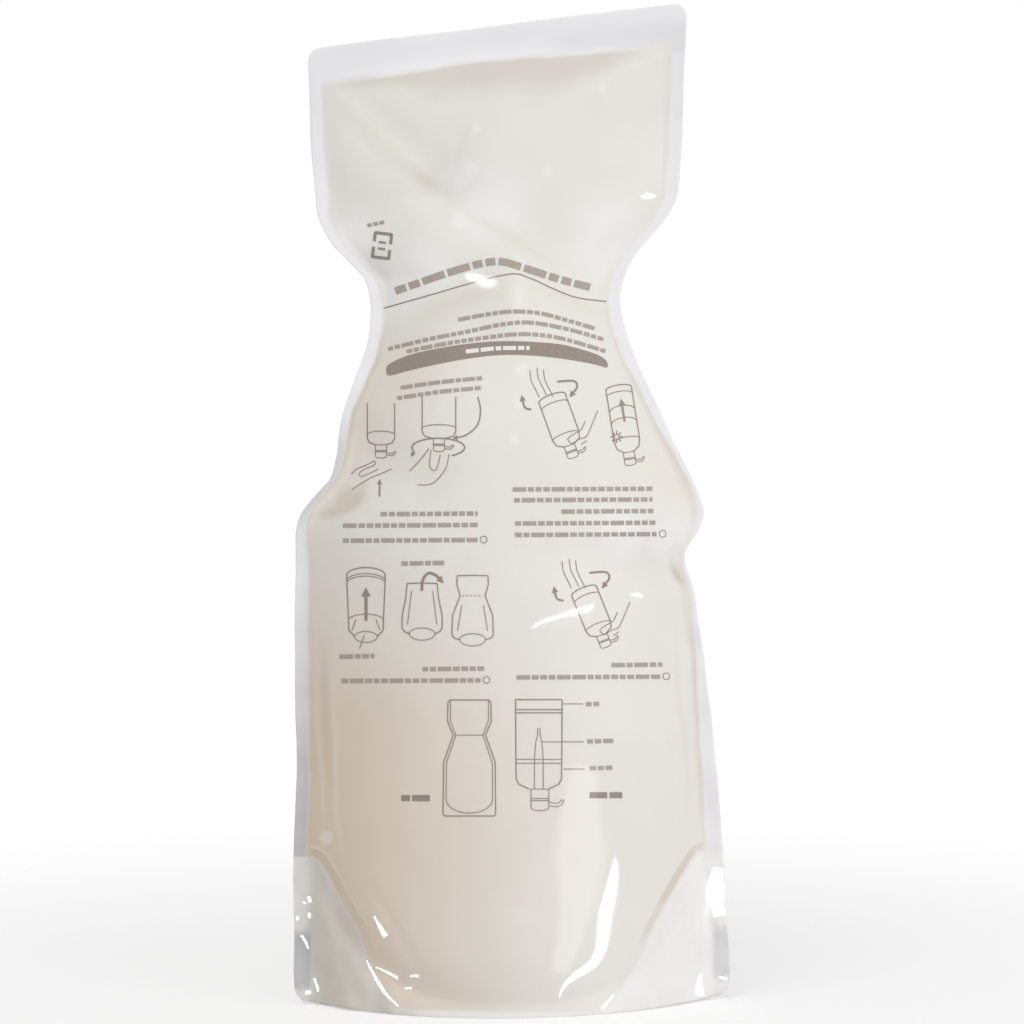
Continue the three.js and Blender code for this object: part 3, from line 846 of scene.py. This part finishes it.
arrow([(-27.2, 153.6), (-27.6, 153.0)], 0.4, 1.4)
arrow(smooth((-9.6, 168.8), (-8.8, 165.2), (-9.6, 161.0), (-12.6, 158.2), (-15.4, 157.4)), 0.4, 1.4)
for route in (
    [(-28.6, 148), (-25.4, 151.4), (-23.2, 154.4)],
    [(-26.4, 144.2), (-22.2, 144.6), (-18.6, 148.6), (-17.6, 152.8)],
    [(-22.6, 154), (-23, 149.4), (-21.2, 148.4), (-20, 152.6)],
):
    draw(smooth(*route), THIN)

# %% Draw the sign of the head
SIGN = (-36.3, 211.0)
SIGN_TILT = -7
for start in (8, 188):
    angles = np.radians(np.arange(start, start + 165, 8))
    ring = np.column_stack([
        np.clip(3.4 * np.cos(angles), -2.3, 2.3),
        np.clip(4.7 * np.sin(angles), -3.4, 3.4),
    ])
    draw(put(ring, SIGN, SIGN_TILT), 0.85)
draw(put([(-1.0, 0.9), (1.0, 0.9)], SIGN, SIGN_TILT), 0.6)
draw(put([(-1.0, -0.9), (1.0, -0.9)], SIGN, SIGN_TILT), 0.6)
dash_row([(-40.4, 216.6), (-34.8, 217.8)], 1.7, 60)
print("marks:", {ink: len(shapes) for ink, shapes in marks.items()})


# %% [markdown]
# Laying the marks on the film. Every point of a mark runs from the camera through its place on the
# picture's plane until it meets the film, and stops a hair in front of it. The white marks lie on the
# bar, so they stop a little sooner. Solidify gives the marks a thin wall, so that they are closed.

# %% Lay the print on the film
INK_THICKNESS = 0.03  # mm
INK_GAPS = {"grey": 0.06, "pale_grey": 0.06, "white": 0.14}

bpy.context.view_layer.update()
film_tree = BVHTree.FromObject(film, bpy.context.evaluated_depsgraph_get())
eye = camera.location.copy()


def sight(place):
    """The direction in which the camera sees a place."""
    return (Vector(((plane_x + place[0]) * MM, plane_y * MM, place[1] * MM)) - eye).normalized()


def on_film(place, gap):
    """The point just in front of the film that the camera sees at a place."""
    ray = sight(place)
    return film_tree.ray_cast(eye, ray)[0] - ray * gap * MM


def lay_print(name, shapes, gap):
    mesh = bmesh.new()
    for upper, lower in shapes:
        lanes = int(np.linalg.norm(upper - lower, axis=1).max() / INK_STEP) + 2
        rows = [
            [mesh.verts.new(on_film(place, gap)) for place in upper + (lower - upper) * share]
            for share in np.linspace(0, 1, lanes)
        ]
        for row, next_row in zip(rows, rows[1:]):
            for i in range(len(row) - 1):
                mesh.faces.new((row[i], next_row[i], next_row[i + 1], row[i + 1]))
    data = bpy.data.meshes.new(name)
    mesh.to_mesh(data)
    mesh.free()
    piece = bpy.data.objects.new(name, data)
    bpy.context.collection.objects.link(piece)
    bpy.ops.object.select_all(action="DESELECT")
    piece.select_set(True)
    bpy.context.view_layer.objects.active = piece
    wall = piece.modifiers.new("wall", "SOLIDIFY")
    wall.thickness = INK_THICKNESS * MM
    wall.offset = 1
    bpy.ops.object.modifier_apply(modifier=wall.name)
    bpy.ops.object.shade_smooth_by_angle(angle=math.radians(40))
    print(name, len(piece.data.polygons), "faces")
    return piece


# %% Ink
FILM_BETWEEN = "#DDD4CB"  # the film, a little of which shows in the ink
INK_SCALE = 900  # to a metre, a grain of about 1 mm: coarser than gravure's cells, so that it can show


def gravure_ink(name, tint):
    """Gravure ink under the outer layer of film: even pigment, with the film's own gloss over it."""
    material, tree = new_material(name)
    place = add(tree, "ShaderNodeTexCoord").outputs["Object"]
    grain = add(tree, "ShaderNodeTexNoise", {"Vector": place}, {"Scale": INK_SCALE, "Detail": 2})
    share = add(
        tree, "ShaderNodeMapRange", {"Value": grain.outputs["Fac"]},
        {"From Min": 0.35, "From Max": 0.65, "To Max": 0.04},
    )
    colour = add(
        tree, "ShaderNodeMix", {"Factor": share.outputs["Result"]},
        {"A": rgb(tint), "B": rgb(FILM_BETWEEN)}, data_type="RGBA",
    )
    shader = add(
        tree, "ShaderNodeBsdfPrincipled", {"Base Color": colour.outputs["Result"]},
        {"Roughness": 0.15, "IOR": FILM_IOR},
    )
    add(tree, "ShaderNodeOutputMaterial", {"Surface": shader.outputs["BSDF"]})
    return material


for ink, tint in (("grey", "#8F827A"), ("pale_grey", "#A59A92"), ("white", "#E6E2DD")):
    piece = lay_print("print_" + ink, marks[ink], INK_GAPS[ink])
    piece.data.materials.append(gravure_ink("gravure_ink_" + ink, tint))
    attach(piece, "root")

# %% [markdown]
# The floor is matt white paper. Round the pouch it takes the soft shadow, and further away it turns to
# an even white for the camera and for reflections, as the world is, so no edge of it shows.

# %% Floor
NEAR, FAR = 0.08, 0.40  # m from the pouch, between which the paper turns to even white

bpy.ops.object.select_all(action="DESELECT")
bpy.ops.mesh.primitive_plane_add(size=8, location=(0, 0, 0))
floor = bpy.context.object
floor.name = "floor"
paper, tree = new_material("white_paper")
path = add(tree, "ShaderNodeLightPath")
place = add(tree, "ShaderNodeTexCoord").outputs["Object"]
away = add(tree, "ShaderNodeVectorMath", {0: place}, operation="LENGTH").outputs["Value"]
even = add(
    tree, "ShaderNodeMapRange", {"Value": away},
    {"From Min": NEAR, "From Max": FAR, "To Min": 0.6, "To Max": 1}, interpolation_type="SMOOTHSTEP",
).outputs["Result"]
matt = add(tree, "ShaderNodeBsdfDiffuse", inputs={"Color": rgb("#F6F6F6")})
glow = add(tree, "ShaderNodeEmission", inputs={"Color": (1, 1, 1, 1), "Strength": 1})
looked_at = add(
    tree, "ShaderNodeMath", {0: path.outputs["Is Camera Ray"], 1: path.outputs["Is Glossy Ray"]},
    operation="MAXIMUM",
)
share = add(tree, "ShaderNodeMath", {0: looked_at.outputs["Value"], 1: even}, operation="MULTIPLY")
mixed = add(
    tree, "ShaderNodeMixShader",
    {"Fac": share.outputs["Value"], 1: matt.outputs["BSDF"], 2: glow.outputs["Emission"]},
)
add(tree, "ShaderNodeOutputMaterial", {"Surface": mixed.outputs["Shader"]})
floor.data.materials.append(paper)

# %% [markdown]
# The light. A white world fills the shade, the key stands low on the right and leaves the lower left
# side darker, and a second lamp high on the left lights the head. Gloss would show the lamps as white
# squares, so they are kept out of reflections, and the world is plain white there.

# %% World
SHADE_LIGHT = 0.5  # what the world adds to every face, where 1 is its own white

world = bpy.data.worlds.new("studio")
bpy.context.scene.world = world
world.use_nodes = True
tree = world.node_tree
tree.nodes.clear()
path = add(tree, "ShaderNodeLightPath")
looked_at = add(
    tree, "ShaderNodeMath", {0: path.outputs["Is Camera Ray"], 1: path.outputs["Is Glossy Ray"]},
    operation="MAXIMUM",
)
soft = add(tree, "ShaderNodeBackground", inputs={"Color": (1, 1, 1, 1), "Strength": SHADE_LIGHT})
white = add(tree, "ShaderNodeBackground", inputs={"Color": (1, 1, 1, 1), "Strength": 1})
mixed = add(
    tree, "ShaderNodeMixShader",
    {"Fac": looked_at.outputs["Value"], 1: soft.outputs["Background"], 2: white.outputs["Background"]},
)
add(tree, "ShaderNodeOutputWorld", {"Surface": mixed.outputs["Shader"]})

# %% Lamps
LAMP_SIZE = 0.5  # m


def lamp(name, degrees_right, degrees_up, power):
    """A square lamp a metre from the middle of the pouch, that gloss doesn't show."""
    middle_of_pouch = Vector((0, 0, 0.14))
    turned, raised = math.radians(degrees_right), math.radians(degrees_up)
    level = math.cos(raised)
    away = Vector((math.sin(turned) * level, -math.cos(turned) * level, math.sin(raised)))
    bpy.ops.object.select_all(action="DESELECT")
    bpy.ops.object.light_add(
        type="AREA", location=middle_of_pouch + away, rotation=(-away).to_track_quat("-Z", "Y").to_euler(),
    )
    made = bpy.context.object
    made.name = name
    made.data.size = LAMP_SIZE
    made.data.energy = power
    made.visible_camera = False
    made.visible_glossy = False


lamp("key", 50, 8, 3.5)
lamp("fill", -30, 65, 3.6)

# %% [markdown]
# The glints. In a studio, white cards stand just outside the picture, each where the glossy film mirrors
# it. The place of each card is worked out backwards: from the camera to the spot where its glint should
# lie, off the film as a mirror turns the ray, and on to the card. So a card is drawn as the glint it
# makes: places as the camera sees them, each with the width of the glint there. Only gloss sees them.
# Each is lit on its inner side alone, and softly at its edges, down to the white of the world. Lamps that
# gloss shows would be quicker, but all their glints would be square.

# %% Cards for the glints
REACH = 0.012  # m from the film to its card
CRUMPLED_REACH = 0.0008  # close to the crumpled skirt, which would mirror a card many times over
BASE_BEND = 20  # mm up, below which the film bends in to its base, and the cards come closer to it
SIDE_BEND = 42  # mm from the middle, near which the film bends in to its seals, and they come closer too
SIDE_EASE = 12  # mm, over which they do
LEAST_AT_BASE, LEAST_AT_SIDE = 0.1, 0.15  # of the reach
FLOOR_GAP = 0.001  # m from the floor to a card above it
INWARD = 0.995  # each time a place past the edge of the film moves in, until it meets the film
CRUMPLED_LEFT, CRUMPLED_RIGHT = -24, 32  # mm, the ends of the smooth part of the skirt
CARD_ROWS = [(-1.5, 0), (-0.8, 1), (0, 1), (0.8, 1), (1.5, 0)]  # across a card, in half widths, and its glow
GLINT_LIGHT = 26  # times the white of the world
GLINTS = [  # [right, up, width] in mm along each glint
    [(28.6, 41.5, 0.3), (28.4, 36.6, 1.2), (27.2, 30.7, 2.6), (26.2, 25.1, 3.1), (25.7, 19.8, 3.3),
     (24.8, 14.2, 3.0), (22.8, 10.6, 2.7), (20.5, 8.8, 2.2), (17.6, 7, 1.7), (15.4, 5.3, 1.1),
     (14.1, 3.4, 0.6), (13.2, 1.1, 0.4)],
    [(25.1, -2.2, 0.8), (26.7, -0.3, 0.6), (28.3, 1.7, 0.3)],
    [(57.4, 37.2, 2.4), (57.4, 34, 4.2), (57.3, 28, 4.4), (58, 23.8, 2.6)],
    [(52.8, 7.8, 0.5), (52.3, 5, 1.5), (52.4, 1.6, 2.0)],
    [(57.9, 6.7, 0.5), (60.1, 6.2, 0.5)],
    [(-38.5, 23.6, 0.4), (-37, 21, 0.8), (-35.3, 18, 1.2)],
    [(-40.6, 11.2, 0.3), (-38, 6.3, 0.6), (-35.3, 1.9, 0.7), (-31.8, -1.4, 0.4)],
    [(-38, 9.5, 0.3), (-34.4, 7.9, 0.5), (-31.8, 6.3, 0.6)],
    [(-28.4, 7, 0.5), (-26, 7, 0.6)],
    [(-30, 3.5, 0.4), (-28, 3.7, 0.4)],
    [(-55.3, 6.3, 0.4), (-54.5, 4.4, 0.6), (-54.1, 2.7, 0.4)],
    [(-57.6, 2.4, 0.9), (-56.2, 2.5, 0.9)],
    [(-56.8, 29.2, 0.6), (-56.4, 27.6, 0.7)],
    [(-58.4, 27.8, 0.5), (-57.6, 27.2, 0.5)],
    [(-60, 23.8, 0.6), (-59.8, 22.6, 0.5)],
    [(-56.8, 24.6, 0.6), (-56.4, 23.2, 0.6)],
    [(-58.8, 18.4, 0.6), (-57.4, 16.2, 0.5), (-57, 14.6, 0.5)],
    [(-12.8, 202.5, 0.6), (-10.5, 201.9, 1.5), (-8.3, 201.3, 1.6), (-6.5, 201, 1.0), (-4.1, 200.4, 0.4)],
    [(36.2, 224.5, 0.5), (37.6, 224.8, 1.4), (39, 224.8, 1.2), (40, 224.9, 0.5)],
    [(5.6, 104.5, 0.2), (10, 106.5, 0.3), (15, 107.9, 0.6), (18, 108.7, 1.1), (21, 109.6, 1.0),
     (22.8, 110.6, 0.4)],
    [(33.4, 113.6, 0.4), (35, 113.5, 0.8), (36.3, 113.1, 0.7)],
]
HAZE = [[(20, 66, 6), (19, 56, 13), (19, 44, 14), (18, 28, 12), (16, 16, 8), (13, 8, 4)]]
HAZE_GLOW = 0.17  # of a glint's: the soft light to the left of the long streak


def mirrored_place(place):
    """Where the film mirrors the camera's line of sight to a place, a reach away from the film."""
    crumpled = place[1] < GUSSET_TOP and not CRUMPLED_LEFT < place[0] < CRUMPLED_RIGHT
    above_base = np.clip(place[1] / BASE_BEND, LEAST_AT_BASE, 1)
    inside_border = np.clip((SIDE_BEND - abs(place[0])) / SIDE_EASE, LEAST_AT_SIDE, 1)
    reach = CRUMPLED_REACH if crumpled else REACH * above_base * inside_border
    hit = None
    while hit is None:  # a place past the edge of the film moves in until it meets the film
        ray = sight(place)
        hit, _, face, _ = film_tree.ray_cast(eye, ray)
        place = place * INWARD
    corners = [film.data.vertices[i] for i in film.data.polygons[face].vertices]
    weights = poly_3d_calc([corner.co for corner in corners], hit)
    normal = sum((corner.normal * weight for corner, weight in zip(corners, weights)), Vector()).normalized()
    turned = ray.reflect(normal)
    if turned.z < 0:
        reach = min(reach, max(hit.z - FLOOR_GAP, 0) / -turned.z)
    return hit + turned * reach


# %% Build the cards
cards = bmesh.new()
glow_layer = cards.verts.layers.float.new("glow")
for glint, brightness in [(glint, 1) for glint in GLINTS] + [(haze, HAZE_GLOW) for haze in HAZE]:
    glint = np.array(glint)
    middle_line = spaced(glint[:, :2])
    widths = spaced(glint[:, ::2], np.linspace(0, 1, len(middle_line)))[:, 1]
    step = np.gradient(middle_line, axis=0)
    step /= np.linalg.norm(step, axis=1)[:, None]
    beside = np.column_stack([-step[:, 1], step[:, 0]]) * widths[:, None] / 2
    rows = []
    for across_card, glow_here in CARD_ROWS:
        row = [cards.verts.new(mirrored_place(place)) for place in middle_line + beside * across_card]
        for corner in row:
            corner[glow_layer] = glow_here * brightness
        rows.append(row)
    for row, next_row in zip(rows, rows[1:]):
        for i in range(len(row) - 1):
            cards.faces.new((row[i], row[i + 1], next_row[i + 1], next_row[i]))
data = bpy.data.meshes.new("glint_cards")
cards.to_mesh(data)
cards.free()
glint_cards = bpy.data.objects.new("glint_cards", data)
bpy.context.collection.objects.link(glint_cards)
print("cards:", len(data.polygons), "faces")

# %% The light of the cards
card_white, tree = new_material("lit_white_card")
soft_edge = add(tree, "ShaderNodeAttribute", attribute_name="glow")
side = add(tree, "ShaderNodeNewGeometry")
inner_side = add(
    tree, "ShaderNodeMath", {0: soft_edge.outputs["Fac"], 1: side.outputs["Backfacing"]},
    operation="MULTIPLY",
)
strength = add(
    tree, "ShaderNodeMapRange", {"Value": inner_side.outputs["Value"]}, {"To Min": 1, "To Max": GLINT_LIGHT},
    interpolation_type="SMOOTHSTEP",
)
glow = add(
    tree, "ShaderNodeEmission", {"Strength": strength.outputs["Result"]}, {"Color": (1, 1, 1, 1)},
)
add(tree, "ShaderNodeOutputMaterial", {"Surface": glow.outputs["Emission"]})
data.materials.append(card_white)
glint_cards.visible_camera = False
glint_cards.visible_diffuse = False
glint_cards.visible_transmission = False
glint_cards.visible_shadow = False

bpy.context.scene.view_settings.view_transform = "Standard"
